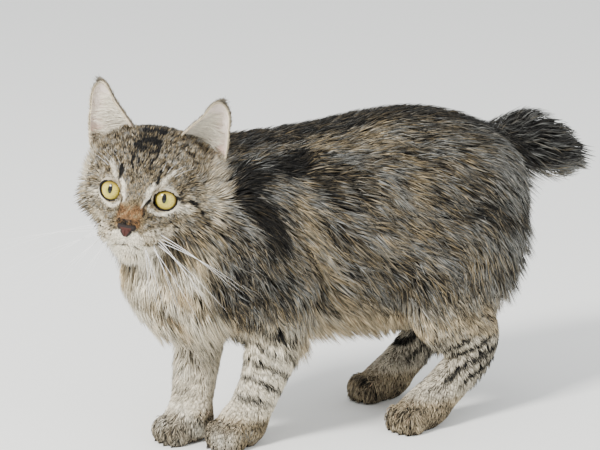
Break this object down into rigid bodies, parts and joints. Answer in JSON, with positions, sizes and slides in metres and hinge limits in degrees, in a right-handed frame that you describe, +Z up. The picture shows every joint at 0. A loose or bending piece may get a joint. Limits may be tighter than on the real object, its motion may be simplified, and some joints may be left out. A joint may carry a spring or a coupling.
{
  "type": "cat",
  "caption": "Young long-coated bobtail cat, life size, standing on four paws with its head turned to its left.",
  "frame": {"origin": "middle of the footprint box, on the floor under the paws", "axes": "the cat faces -Y, its left side is +X, and +Z is up"},
  "size_m": [0.1762, 0.5074, 0.2706],
  "materials": {
    "head_coat": "short fur over skin, grey-brown tabby",
    "neck_coat": "shaggy fur, cream and brown",
    "torso_coat": "thick fur, brown and grey spotted tabby",
    "tail_coat": "thick fur, dark brown",
    "foreleg_coat": "fur, cream with dark bars",
    "thigh_coat": "fur, grey-brown with dark bars",
    "hindleg_coat": "fur, grey-brown with dark bars",
    "forepaw_coat": "short fur, grey-brown",
    "hindpaw_coat": "short fur, grey-brown",
    "ear_skin": "thin skin with fine fur, matt",
    "eye": "polished, yellow-gold iris and dark pupil",
    "whisker": "stiff white hairs",
    "nose_leather": "fine-grained, half matt, brick red"
  },
  "bodies": {
    "root": {"head": "head_coat", "neck": "neck_coat", "torso": "torso_coat", "tail": "tail_coat", "foreleg_left": "foreleg_coat", "foreleg_right": "foreleg_coat", "thigh_left": "thigh_coat", "thigh_right": "thigh_coat", "hindleg_left": "hindleg_coat", "hindleg_right": "hindleg_coat", "forepaw_left": "forepaw_coat", "forepaw_right": "forepaw_coat", "hindpaw_left": "hindpaw_coat", "hindpaw_right": "hindpaw_coat", "ear_left": "ear_skin", "ear_right": "ear_skin", "eye_left": "eye", "eye_right": "eye", "nose": "nose_leather", "whisker_left_1": "whisker", "whisker_left_2": "whisker", "whisker_left_3": "whisker", "whisker_left_4": "whisker", "whisker_left_5": "whisker", "whisker_right_1": "whisker", "whisker_right_2": "whisker", "whisker_right_3": "whisker", "whisker_right_4": "whisker", "whisker_right_5": "whisker"}
  },
  "joints": []
}
